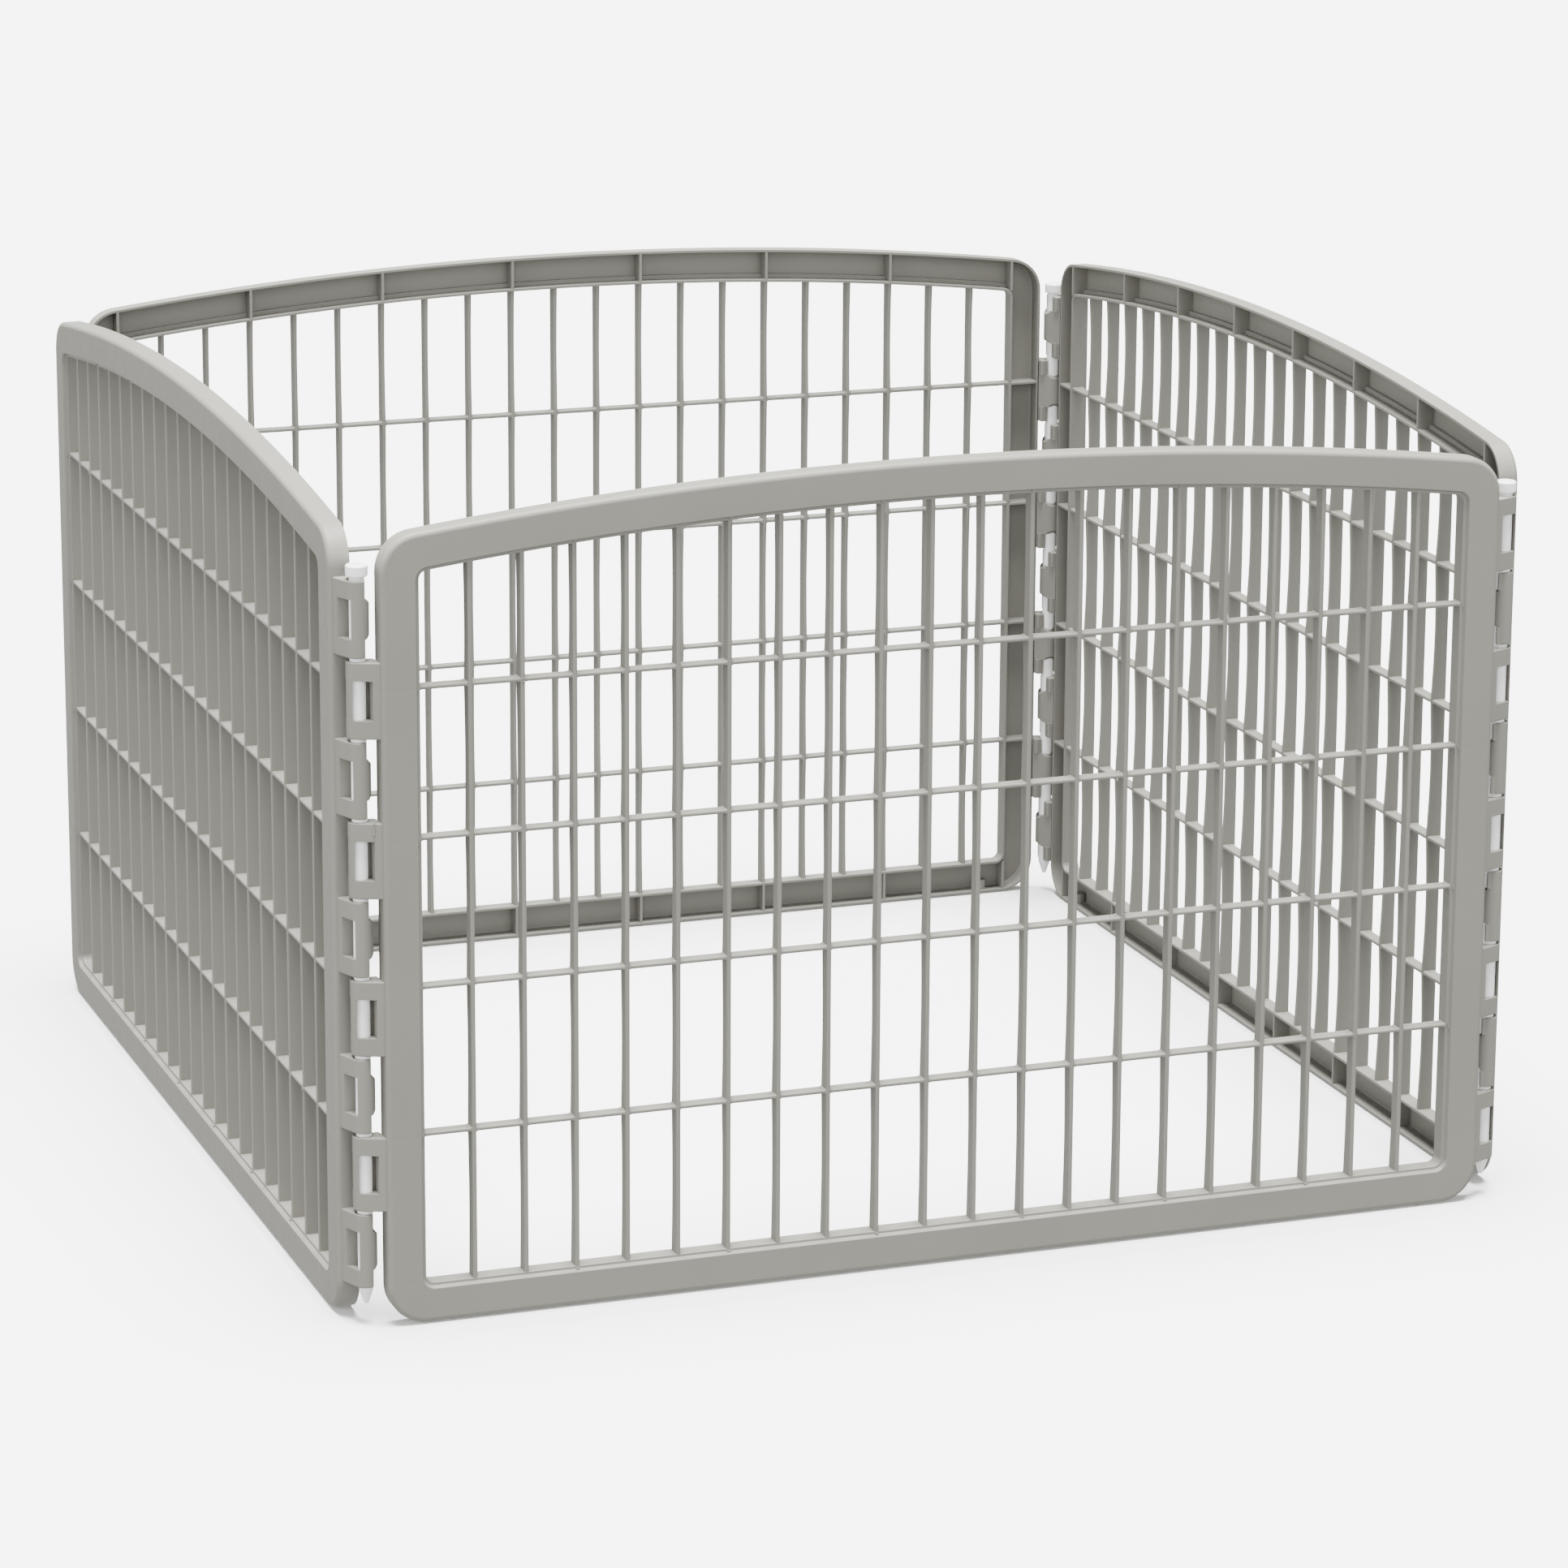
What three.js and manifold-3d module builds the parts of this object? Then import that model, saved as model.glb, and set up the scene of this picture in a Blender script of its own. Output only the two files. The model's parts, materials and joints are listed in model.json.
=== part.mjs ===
// Four-panel pet playpen: a square pen of four identical moulded panels, joined at the corners by
// drop-in hinge pins and standing on small rubber feet. Millimetres, +Z up. The origin is on the floor,
// at the middle of the pen. Front is -Y.
//
// A panel is built once in its own frame: x runs along the panel, +y points into the pen, z is up, and
// the line y = 0 joins the axes of its two hinge pins. Each panel is that one moulding turned by 90 degrees.

import * as THREE from 'three';
import { mergeVertices } from 'three/addons/utils/BufferGeometryUtils.js';
import Module from 'manifold-3d';

const wasm = await Module();
wasm.setup();

// ---- driving dimensions -------------------------------------------------------------------------

// Grid of bars
const BAR_PITCH = 37.5;
const BAR_COUNT = 20;
const BAR_WIDTH = 3.4;
const BAR_FRONT = -13.5;
const BAR_BACK = -2;
const CROSSBAR_COUNT = 4;
const CROSSBAR_PITCH = 106.6;
const CROSSBAR_FIRST = 137;
const CROSSBAR_HEIGHT = 3.2;
const CROSSBAR_INSET = 0.8;

// Frame of a panel
const FRAME_WIDTH = 28;
const OUTER_FACE = -17;
const INNER_FACE = -1;
const CROWN_HEIGHT = 591;
const ARCH_RISE = 28.5;
const CORNER_RADIUS = 28;
const OPENING_RADIUS = 6;
const EDGE_CHAMFER = 2.5;
const WALL = 2.4;
const FACE_THICKNESS = 2.6;
const LEDGE_WIDTH = 3.2;
const LEDGE_DEPTH = 3.5;
const RIB_EVERY = 3;

// Hinge knuckles
const PIN_TO_FRAME = 12;
const KNUCKLE_RADIUS = 8.2;
const KNUCKLE_HEIGHT = 54;
const KNUCKLE_PITCH = 56.5;
const KNUCKLE_BASE = 27;
const KNUCKLE_ROOT = -13.6;
const BORE_RADIUS = 5.8;
const WINDOW_HEIGHT = 28;
const WINDOW_REACH = 7.4;
const LONG_SIDE_KNUCKLES = 5;
const SHORT_SIDE_KNUCKLES = 4;

// Hinge pins
const PIN_RADIUS = 5.5;
const PIN_HEAD_RADIUS = 7.7;
const PIN_HEAD_HEIGHT = 8.5;
const PIN_NECK_RADIUS = 5.2;
const PIN_NECK_HEIGHT = 2.2;
const PIN_CHAMFER = 1.3;
const PIN_TIP_RADIUS = 1.4;
const PIN_TIP_LENGTH = 10.5;
const PIN_TIP_BELOW = 13.5;

// Rubber feet, plugged from below into a boss on the floor of the bottom rail
const FOOT_PROUD = 1;
const FOOT_RADIUS = 5;
const FOOT_SEAT = 1.4;
const FOOT_STEM_RADIUS = 2.8;
const FOOT_STEM_TOP = 8;
const BOSS_RADIUS = 6;
const BOSS_HEIGHT = 10.5;

// Clearance between pieces that touch
const GAP = 0.3;

// How far a cutting solid runs past the face it cuts, and how close two corners are to be one
const CUT_PAST = 1;
const SAME_POINT = 1e-4;

// Facets of the round stretches
const CORNER_SEGMENTS = 3;
const ARCH_SEGMENTS = 10;
const KNUCKLE_SEGMENTS = 5;
const ROUND_SIDES = 8;

// Looks
const PANEL_LOOK = { color: 0x9c9b94, roughness: 0.55, metalness: 0 };
const PIN_LOOK = { color: 0xf2f2f0, roughness: 0.3, metalness: 0 };
const FOOT_LOOK = { color: 0x8a8983, roughness: 0.9, metalness: 0 };

// ---- dimensions worked out from them --------------------------------------------------------------

const OPENING_HALF = ((BAR_COUNT + 1) * BAR_PITCH - BAR_WIDTH) / 2;
const HALF_WIDTH = OPENING_HALF + FRAME_WIDTH;
const PIN_SPACING = 2 * (HALF_WIDTH + PIN_TO_FRAME);
const CHANNEL_FLOOR = OUTER_FACE + FACE_THICKNESS;
const ARCH_RADIUS = (HALF_WIDTH ** 2 + ARCH_RISE ** 2) / (2 * ARCH_RISE);
const ARCH_CENTRE = CROWN_HEIGHT - ARCH_RADIUS;
const FOOT_X = OPENING_HALF - BAR_PITCH / 2;
const FOOT_Y = (OUTER_FACE + INNER_FACE) / 2;
const TOP_KNUCKLE = LONG_SIDE_KNUCKLES + SHORT_SIDE_KNUCKLES - 1;
const PIN_TOP_SEAT = KNUCKLE_BASE + TOP_KNUCKLE * KNUCKLE_PITCH + KNUCKLE_HEIGHT;

// ---- solids: closed meshes that can be joined and cut -----------------------------------------------

function solid(geometry) {
  geometry.deleteAttribute('normal');
  geometry.deleteAttribute('uv');
  const merged = mergeVertices(geometry, SAME_POINT);
  return new wasm.Manifold(new wasm.Mesh({
    numProp: 3,
    vertProperties: new Float32Array(merged.attributes.position.array),
    triVerts: new Uint32Array(merged.index.array),
  }));
}

function geometryOf(body) {
  const mesh = body.getMesh();
  const geometry = new THREE.BufferGeometry();
  geometry.setAttribute('position', new THREE.BufferAttribute(mesh.vertProperties.slice(), 3));
  geometry.setIndex(new THREE.BufferAttribute(mesh.triVerts.slice(), 1));
  geometry.computeVertexNormals();
  return geometry;
}

function block(x0, x1, y0, y1, z0, z1) {
  const geometry = new THREE.BoxGeometry(x1 - x0, y1 - y0, z1 - z0);
  geometry.translate((x0 + x1) / 2, (y0 + y1) / 2, (z0 + z1) / 2);
  return solid(geometry);
}

// An outline in the panel's x, z plane, given thickness from y0 to y1.
function slab(shape, y0, y1) {
  const geometry = new THREE.ExtrudeGeometry(shape, {
    depth: y1 - y0,
    bevelEnabled: false,
    curveSegments: 1,
  });
  geometry.rotateX(Math.PI / 2);
  geometry.translate(0, y1, 0);
  return solid(geometry);
}

// The same with its edge chamfered at y0. The extrusion is chamfered at both ends, so the far one is trimmed.
function chamferedSlab(shape, y0, y1, chamfer) {
  const extent = 2 * HALF_WIDTH;
  const geometry = new THREE.ExtrudeGeometry(shape, {
    depth: y1 - y0,
    bevelThickness: chamfer,
    bevelSize: chamfer,
    bevelOffset: -chamfer,
    bevelSegments: 1,
    curveSegments: 1,
  });
  geometry.rotateX(Math.PI / 2);
  geometry.translate(0, y1 + chamfer, 0);
  const trim = block(-extent, extent, y1, y1 + 2 * chamfer + CUT_PAST, -extent, extent);
  return solid(geometry).subtract(trim);
}

// An outline in the x, y plane, standing from z0 to z1.
function column(points, z0, z1) {
  const shape = new THREE.Shape(points);
  const geometry = new THREE.ExtrudeGeometry(shape, { depth: z1 - z0, bevelEnabled: false });
  geometry.translate(0, 0, z0);
  return solid(geometry);
}

// A [radius, height] profile turned about a vertical axis.
function turned(profile) {
  const points = profile.map(([radius, height]) => new THREE.Vector2(radius, height));
  const geometry = new THREE.LatheGeometry(points, ROUND_SIDES);
  geometry.rotateX(Math.PI / 2);
  return geometry;
}

// A vertical cylinder whose flat sides, not its corners, are at the radius.
function bore(x, y, radius, z0, z1) {
  const corner = radius / Math.cos(Math.PI / ROUND_SIDES);
  const geometry = new THREE.CylinderGeometry(corner, corner, z1 - z0, ROUND_SIDES);
  geometry.rotateX(Math.PI / 2);
  geometry.translate(x, y, (z0 + z1) / 2);
  return solid(geometry);
}

function arcPoints(cx, cy, radius, from, to, segments) {
  const points = [];
  for (let i = 0; i <= segments; i++) {
    const angle = from + ((to - from) * i) / segments;
    points.push(new THREE.Vector2(cx + radius * Math.cos(angle), cy + radius * Math.sin(angle)));
  }
  return points;
}

// ---- panel frame -----------------------------------------------------------------------------------

// The panel's outline drawn in by a distance: straight sides and foot, rounded corners and the arched top.
function panelOutline(inset, cornerRadius) {
  const half = HALF_WIDTH - inset;
  const arch = ARCH_RADIUS - inset;
  const cornerX = half - cornerRadius;
  const cornerZ = ARCH_CENTRE + Math.sqrt((arch - cornerRadius) ** 2 - cornerX ** 2);
  const turn = Math.atan2(cornerZ - ARCH_CENTRE, cornerX);
  const foot = inset + cornerRadius;
  return new THREE.Shape([
    ...arcPoints(-cornerX, foot, cornerRadius, Math.PI, 1.5 * Math.PI, CORNER_SEGMENTS),
    ...arcPoints(cornerX, foot, cornerRadius, 1.5 * Math.PI, 2 * Math.PI, CORNER_SEGMENTS),
    ...arcPoints(cornerX, cornerZ, cornerRadius, 0, turn, CORNER_SEGMENTS),
    ...arcPoints(0, ARCH_CENTRE, arch, turn, Math.PI - turn, ARCH_SEGMENTS).slice(1, -1),
    ...arcPoints(-cornerX, cornerZ, cornerRadius, Math.PI - turn, Math.PI, CORNER_SEGMENTS),
  ]);
}

// Height of the top of the opening above x.
function openingTop(x) {
  return ARCH_CENTRE + Math.sqrt((ARCH_RADIUS - FRAME_WIDTH) ** 2 - x ** 2);
}

function openingOutline(grow) {
  return panelOutline(FRAME_WIDTH - grow, OPENING_RADIUS + grow);
}

function barX(index) {
  return (index - (BAR_COUNT + 1) / 2) * BAR_PITCH;
}

function crossbarZ(index) {
  return CROSSBAR_FIRST + index * CROSSBAR_PITCH;
}

// Ribs that cross the channel: one behind every third bar in both rails, one at each end of the rails that
// carries on the wall of the stile, and one at each crossbar in both stiles.
function channelRibs() {
  const wallX = OPENING_HALF + WALL / 2;
  const places = [-wallX, wallX];
  for (let i = RIB_EVERY; i <= BAR_COUNT; i += RIB_EVERY) {
    places.push(barX(i));
  }
  const ribs = places.map((x) => block(x - WALL / 2, x + WALL / 2, OUTER_FACE, INNER_FACE, 0, CROWN_HEIGHT));
  for (let i = 0; i < CROSSBAR_COUNT; i++) {
    const z = crossbarZ(i);
    ribs.push(block(-HALF_WIDTH, HALF_WIDTH, OUTER_FACE, INNER_FACE, z - WALL / 2, z + WALL / 2));
  }
  return ribs;
}

// The hollow of the frame, open towards the inside of the pen. Its floor steps up beside the opening,
// where the outer face steps back to the ledge.
function channel() {
  const mouth = INNER_FACE + CUT_PAST;
  const outer = panelOutline(WALL, CORNER_RADIUS - WALL);
  const step = openingOutline(LEDGE_WIDTH + WALL);
  const deep = slab(outer, CHANNEL_FLOOR, mouth).subtract(slab(step, OUTER_FACE, mouth + CUT_PAST));
  const shallow = slab(step, CHANNEL_FLOOR + LEDGE_DEPTH, mouth);
  const edge = slab(openingOutline(WALL), OUTER_FACE, mouth + CUT_PAST);
  let hollow = deep.add(shallow.subtract(edge));
  for (const rib of channelRibs()) {
    hollow = hollow.subtract(rib);
  }
  for (const side of [-1, 1]) {
    hollow = hollow.subtract(bore(side * FOOT_X, FOOT_Y, BOSS_RADIUS, 0, BOSS_HEIGHT));
  }
  return hollow;
}

function frame() {
  const plate = chamferedSlab(panelOutline(0, CORNER_RADIUS), OUTER_FACE, INNER_FACE, EDGE_CHAMFER);
  const ledge = slab(openingOutline(LEDGE_WIDTH), OUTER_FACE - CUT_PAST, OUTER_FACE + LEDGE_DEPTH);
  const opening = slab(openingOutline(0), OUTER_FACE - CUT_PAST, INNER_FACE + CUT_PAST);
  return plate.subtract(ledge).subtract(opening).subtract(channel());
}

// Each foot has a shallow seat under the rail and a blind socket up into its boss.
function footSocket(x) {
  const seat = bore(x, FOOT_Y, FOOT_RADIUS + GAP, -CUT_PAST, FOOT_SEAT);
  const socket = bore(x, FOOT_Y, FOOT_STEM_RADIUS + GAP, -CUT_PAST, FOOT_STEM_TOP + GAP);
  return seat.add(socket);
}

// ---- panel grid ------------------------------------------------------------------------------------

function bars() {
  let grid = null;
  for (let i = 1; i <= BAR_COUNT; i++) {
    const x = barX(i);
    const top = openingTop(x) + WALL / 2;
    const bar = block(x - BAR_WIDTH / 2, x + BAR_WIDTH / 2, BAR_FRONT, BAR_BACK, FRAME_WIDTH - WALL / 2, top);
    grid = grid ? grid.add(bar) : bar;
  }
  return grid;
}

function crossbars() {
  const reach = OPENING_HALF + WALL / 2;
  const front = BAR_FRONT + CROSSBAR_INSET;
  const back = BAR_BACK - CROSSBAR_INSET;
  let grid = null;
  for (let i = 0; i < CROSSBAR_COUNT; i++) {
    const z = crossbarZ(i);
    const bar = block(-reach, reach, front, back, z - CROSSBAR_HEIGHT / 2, z + CROSSBAR_HEIGHT / 2);
    grid = grid ? grid.add(bar) : bar;
  }
  return grid;
}

// ---- hinge knuckles --------------------------------------------------------------------------------

// Where the line from a point touches a circle about the origin, on the side given by sign.
function tangentAngle(x, y, radius, sign) {
  return Math.atan2(y, x) + sign * Math.acos(radius / Math.hypot(x, y));
}

// Plan of a knuckle about the pin axis, with the panel's end to the left: an outer wall and an inner wall
// that leave the panel's end and close round the pin.
function knucklePlan() {
  const root = -PIN_TO_FRAME - WALL / 2;
  const outerTouch = tangentAngle(-PIN_TO_FRAME, KNUCKLE_ROOT, KNUCKLE_RADIUS, 1);
  const innerTouch = tangentAngle(-PIN_TO_FRAME, INNER_FACE, KNUCKLE_RADIUS, -1);
  return [
    new THREE.Vector2(root, KNUCKLE_ROOT),
    new THREE.Vector2(-PIN_TO_FRAME, KNUCKLE_ROOT),
    ...arcPoints(0, 0, KNUCKLE_RADIUS, outerTouch, innerTouch + 2 * Math.PI, KNUCKLE_SEGMENTS),
    new THREE.Vector2(-PIN_TO_FRAME, INNER_FACE),
    new THREE.Vector2(root, INNER_FACE),
  ];
}

// One knuckle about the origin: a bore for the pin and a window in the middle of its outer wall.
function knuckle() {
  const middle = KNUCKLE_HEIGHT / 2;
  const body = column(knucklePlan(), 0, KNUCKLE_HEIGHT);
  const pinBore = bore(0, 0, BORE_RADIUS, -CUT_PAST, KNUCKLE_HEIGHT + CUT_PAST);
  const window = block(
    -WINDOW_REACH, BORE_RADIUS, OUTER_FACE, 0, middle - WINDOW_HEIGHT / 2, middle + WINDOW_HEIGHT / 2);
  return body.subtract(pinBore).subtract(window);
}

// The knuckles of both ends interleave with the neighbours' at the corners: five on the right end, with
// every other place from the bottom, and four on the left end between the neighbour's five.
function knuckles() {
  const one = knuckle();
  const mirrored = one.mirror([1, 0, 0]);
  const axisX = PIN_SPACING / 2;
  const all = [];
  for (let i = 0; i < LONG_SIDE_KNUCKLES; i++) {
    all.push(one.translate([axisX, 0, KNUCKLE_BASE + 2 * i * KNUCKLE_PITCH]));
  }
  for (let i = 0; i < SHORT_SIDE_KNUCKLES; i++) {
    all.push(mirrored.translate([-axisX, 0, KNUCKLE_BASE + (2 * i + 1) * KNUCKLE_PITCH]));
  }
  return all;
}

// ---- sub-parts -------------------------------------------------------------------------------------

function panelGeometry() {
  let panel = frame().add(bars()).add(crossbars());
  for (const one of knuckles()) {
    panel = panel.add(one);
  }
  for (const side of [-1, 1]) {
    panel = panel.subtract(footSocket(side * FOOT_X));
  }
  return geometryOf(panel);
}

function pinGeometry() {
  const shoulder = PIN_TIP_BELOW + PIN_TIP_LENGTH;
  const headBase = PIN_TOP_SEAT + PIN_NECK_HEIGHT;
  const headTop = headBase + PIN_HEAD_HEIGHT;
  return turned([
    [0, PIN_TIP_BELOW],
    [PIN_TIP_RADIUS, PIN_TIP_BELOW + PIN_CHAMFER],
    [PIN_RADIUS, shoulder],
    [PIN_RADIUS, PIN_TOP_SEAT],
    [PIN_NECK_RADIUS, PIN_TOP_SEAT + PIN_RADIUS - PIN_NECK_RADIUS],
    [PIN_NECK_RADIUS, headBase],
    [PIN_HEAD_RADIUS - PIN_CHAMFER, headBase],
    [PIN_HEAD_RADIUS, headBase + PIN_CHAMFER],
    [PIN_HEAD_RADIUS, headTop - PIN_CHAMFER],
    [PIN_HEAD_RADIUS - PIN_CHAMFER, headTop],
    [0, headTop],
  ]);
}

function footGeometry() {
  const seat = FOOT_SEAT - GAP;
  return turned([
    [0, -FOOT_PROUD],
    [FOOT_RADIUS, -FOOT_PROUD],
    [FOOT_RADIUS, seat],
    [FOOT_STEM_RADIUS, seat],
    [FOOT_STEM_RADIUS, FOOT_STEM_TOP],
    [0, FOOT_STEM_TOP],
  ]);
}

function piece(name, geometry, look) {
  const mesh = new THREE.Mesh(geometry.clone(), new THREE.MeshStandardMaterial(look));
  mesh.name = name;
  return mesh;
}

// ---- the pen ---------------------------------------------------------------------------------------

// Each side in turn from the front, anticlockwise seen from above, with the names of its two ends and of
// the corner at its right-hand end.
const SIDES = [
  { name: 'front', ends: ['left', 'right'], corner: 'front_right' },
  { name: 'right', ends: ['front', 'rear'], corner: 'rear_right' },
  { name: 'rear', ends: ['right', 'left'], corner: 'rear_left' },
  { name: 'left', ends: ['rear', 'front'], corner: 'front_left' },
];

const pen = new THREE.Group();
const panelShape = panelGeometry();
const pinShape = pinGeometry();
const footShape = footGeometry();

SIDES.forEach((side, quarter) => {
  const group = new THREE.Group();
  group.rotation.z = (quarter * Math.PI) / 2;

  const panel = piece(`panel_${side.name}`, panelShape, PANEL_LOOK);
  panel.position.set(0, -PIN_SPACING / 2, FOOT_PROUD);
  group.add(panel);

  const pin = piece(`hinge_pin_${side.corner}`, pinShape, PIN_LOOK);
  pin.position.set(PIN_SPACING / 2, -PIN_SPACING / 2, FOOT_PROUD);
  group.add(pin);

  side.ends.forEach((end, i) => {
    const foot = piece(`foot_${side.name}_${end}`, footShape, FOOT_LOOK);
    foot.position.set((2 * i - 1) * FOOT_X, FOOT_Y - PIN_SPACING / 2, FOOT_PROUD);
    group.add(foot);
  });

  pen.add(group);
});

export default pen;
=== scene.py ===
"""Looks of the pet playpen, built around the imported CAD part."""
import json
import math

import bmesh
import bpy
from mathutils import Matrix, Vector

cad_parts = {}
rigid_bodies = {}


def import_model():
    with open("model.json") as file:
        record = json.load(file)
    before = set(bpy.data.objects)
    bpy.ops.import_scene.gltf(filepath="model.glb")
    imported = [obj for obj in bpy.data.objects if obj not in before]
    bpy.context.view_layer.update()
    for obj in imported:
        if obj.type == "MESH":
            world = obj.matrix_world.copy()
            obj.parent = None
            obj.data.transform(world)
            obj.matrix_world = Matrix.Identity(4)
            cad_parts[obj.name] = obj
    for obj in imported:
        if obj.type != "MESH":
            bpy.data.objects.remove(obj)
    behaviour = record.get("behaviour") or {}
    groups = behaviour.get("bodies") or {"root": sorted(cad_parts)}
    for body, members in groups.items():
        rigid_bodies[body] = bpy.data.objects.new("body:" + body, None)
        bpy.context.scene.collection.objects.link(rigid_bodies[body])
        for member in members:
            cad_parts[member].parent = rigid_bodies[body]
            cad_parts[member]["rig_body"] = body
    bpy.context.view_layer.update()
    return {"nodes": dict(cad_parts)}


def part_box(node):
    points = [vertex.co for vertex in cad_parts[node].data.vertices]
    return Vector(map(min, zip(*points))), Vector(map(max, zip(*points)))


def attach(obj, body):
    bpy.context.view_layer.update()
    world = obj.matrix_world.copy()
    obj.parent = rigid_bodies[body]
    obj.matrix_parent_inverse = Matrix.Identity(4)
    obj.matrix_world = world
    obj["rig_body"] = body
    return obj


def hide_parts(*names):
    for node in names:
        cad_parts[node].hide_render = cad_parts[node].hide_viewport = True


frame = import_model()

# ---- dimensions of a panel, in millimetres ----------------------------------------------------------
# A panel's own frame: x along it, v out of the pen, z up from its bottom edge, v = 0 through its two pins.

BAR_PITCH = 37.5
BAR_COUNT = 20
BAR_WIDTH = 3.4
BAR_FRONT = 13.5
BAR_BACK = 2.0
BAR_WAIST = 1.7
CROSSBAR_PITCH = 106.6
CROSSBAR_FIRST = 137.0
CROSSBAR_COUNT = 4
CROSSBAR_FRONT = 12.7
CROSSBAR_BACK = 2.8
CROSSBAR_HALF = 1.5
BAR_FRONT_EDGE = 0.9
BAR_BACK_EDGE = 0.7
BAR_TAPER = 0.15
CROSSBAR_FRONT_EDGE = 1.25
CROSSBAR_BACK_EDGE = 0.8
CROSSBAR_TAPER = 0.1
ROOT_THICKER = 0.55
ROOT_FORWARD = 0.45
ROOT_BACK = 0.4

FRAME_WIDTH = 28.0
OUTER_FACE = 17.0
INNER_FACE = 1.0
CROWN_HEIGHT = 591.0
ARCH_RISE = 28.5
CORNER_RADIUS = 28.0
OPENING_RADIUS = 6.0
WALL = 2.4
FLOOR = 14.4
STEP_FLOOR = 10.9
LEDGE = 13.5
FACE_END = 24.8
FACE_SLOPE = 1.2
LEDGE_FALL = 0.1
FRONT_EDGE = 3.8
FACE_EDGE = 0.7
SOFT_EDGE = 0.5
RIM_EDGE = 0.4
CHANNEL_FILLET = 1.6
RIB_EVERY = 3
RIB_HALF = WALL / 2 - 0.1
RIB_TAPER = 0.2
RIB_EDGE = 0.35
RIB_SET_BACK = 0.05
RIB_BURIED = 0.6

PIN_TO_FRAME = 12.0
RING = 8.2
BORE = 5.8
KNUCKLE_HEIGHT = 54.0
KNUCKLE_PITCH = 56.5
KNUCKLE_BASE = 27.0
KNUCKLE_ROOT = 13.6
KNUCKLE_FLAT = -3.5
WINDOW_REACH = 7.4
WINDOW_LOW = 13.0
WINDOW_HIGH = 41.0
HOOK_STRAIGHT = -4.9
HOOK_CHAMFER = 3.2
KNUCKLE_EDGE = 1.0
KNUCKLE_FILLET = 2.4
LIP_START = KNUCKLE_FLAT + 0.4
LIP_END = -6.5
LIP_NEAR = BORE + 0.05
LIP_FAR = RING - 0.75
LIP_FAR_END = RING - 1.1
LIP_NEAR_EDGE = 0.3
LIP_EDGE = 0.5
RIGHT_KNUCKLES = 5
LEFT_KNUCKLES = 4
FOOT_PROUD = 1.0

PIN_RADIUS = 5.5
PIN_SHAFT_START = 27.4
PIN_NECK = 5.2
PIN_HEAD = 7.7
HEAD_LOW = 2.2
HEAD_HIGH = 10.7
HEAD_DOME = 0.25
HEAD_LOW_EDGE = 1.3
HEAD_HIGH_EDGE = 1.5

# Turned shapes, each a list of (radius, height). Heights are z from the panel's bottom edge, but for the
# gate mark's, which are v, and the gate nub's, which are z from the top of its knuckle.
BOSS = ((6.3, 1.2), (6.0, 2.6), (6.0, 10.0), (5.8, 10.4), (5.4, 10.5), (2.4, 10.5), (2.2, 10.1))
GATE_MARK = ((1.5, 13.2), (1.45, 13.85), (1.2, 14.05), (0.95, 13.9), (0.5, 13.6))
GATE_NUB = ((0.5, 0.7), (0.75, 0.6), (0.8, -1.0), (0.7, -7.0), (0.95, -7.6), (1.0, -8.2), (0.7, -8.8),
            (0.3, -9.0))
PIN_TIP = ((0, 13.5), (0.9, 13.62), (1.5, 14.0), (1.9, 14.7), (4.75, 23.4), (5.0, 24.2), (5.0, 26.6),
           (5.35, 26.9))
FOOT = ((0, -1.0), (4.3, -1.0), (4.7, -0.92), (4.92, -0.7), (5.0, -0.4), (5.0, 1.1), (2.8, 1.1), (2.8, 7.6),
        (2.4, 8.0), (0, 8.0))

# Steps away from a bar, and how much of a crossbar's extra fullness at the bar is left at each.
CROSSBAR_ROOT = ((0, 1.0), (0.5, 0.55), (1.1, 0.2), (2.0, 0.0))

# The crossings that carry a gate mark, as bar and crossbar.
GATE_MARK_PLACES = ((2, CROSSBAR_COUNT - 1), (BAR_COUNT - 1, 0))
# How far the gate nub sits from the frame, along the knuckle's sloping face.
NUB_ALONG = 0.34

OPENING_HALF = ((BAR_COUNT + 1) * BAR_PITCH - BAR_WIDTH) / 2
HALF_WIDTH = OPENING_HALF + FRAME_WIDTH
AXIS_X = HALF_WIDTH + PIN_TO_FRAME
ARCH_RADIUS = (HALF_WIDTH ** 2 + ARCH_RISE ** 2) / (2 * ARCH_RISE)
ARCH_CENTRE = CROWN_HEIGHT - ARCH_RADIUS
PIN_SEAT = KNUCKLE_BASE + (RIGHT_KNUCKLES + LEFT_KNUCKLES - 1) * KNUCKLE_PITCH + KNUCKLE_HEIGHT
FOOT_X = OPENING_HALF - BAR_PITCH / 2
FOOT_V = (OUTER_FACE + INNER_FACE) / 2

CORNER_STEPS = 14
CORNER_MARGIN = 6
EDGE_STEPS = 4
HEAD_STEPS = 6
ARCH_STEPS = 72
BAR_STEPS = 10
BOSS_SIDES = 28
MARK_SIDES = 18
NUB_SIDES = 16
PIN_SIDES = 56
FOOT_SIDES = 40
SHARP_ANGLE = 32
MM = 0.001


# ---- small geometry helpers ------------------------------------------------------------------------

def arc(cx, cy, radius, start, end, steps):
    """Points along an arc, both ends included."""
    points = []
    for i in range(steps + 1):
        a = start + (end - start) * i / steps
        points.append((cx + radius * math.cos(a), cy + radius * math.sin(a)))
    return points


def circle(cx, cy, radius, sides):
    """Points round a circle, each of them once."""
    return arc(cx, cy, radius, 0, 2 * math.pi, sides)[:-1]


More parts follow.
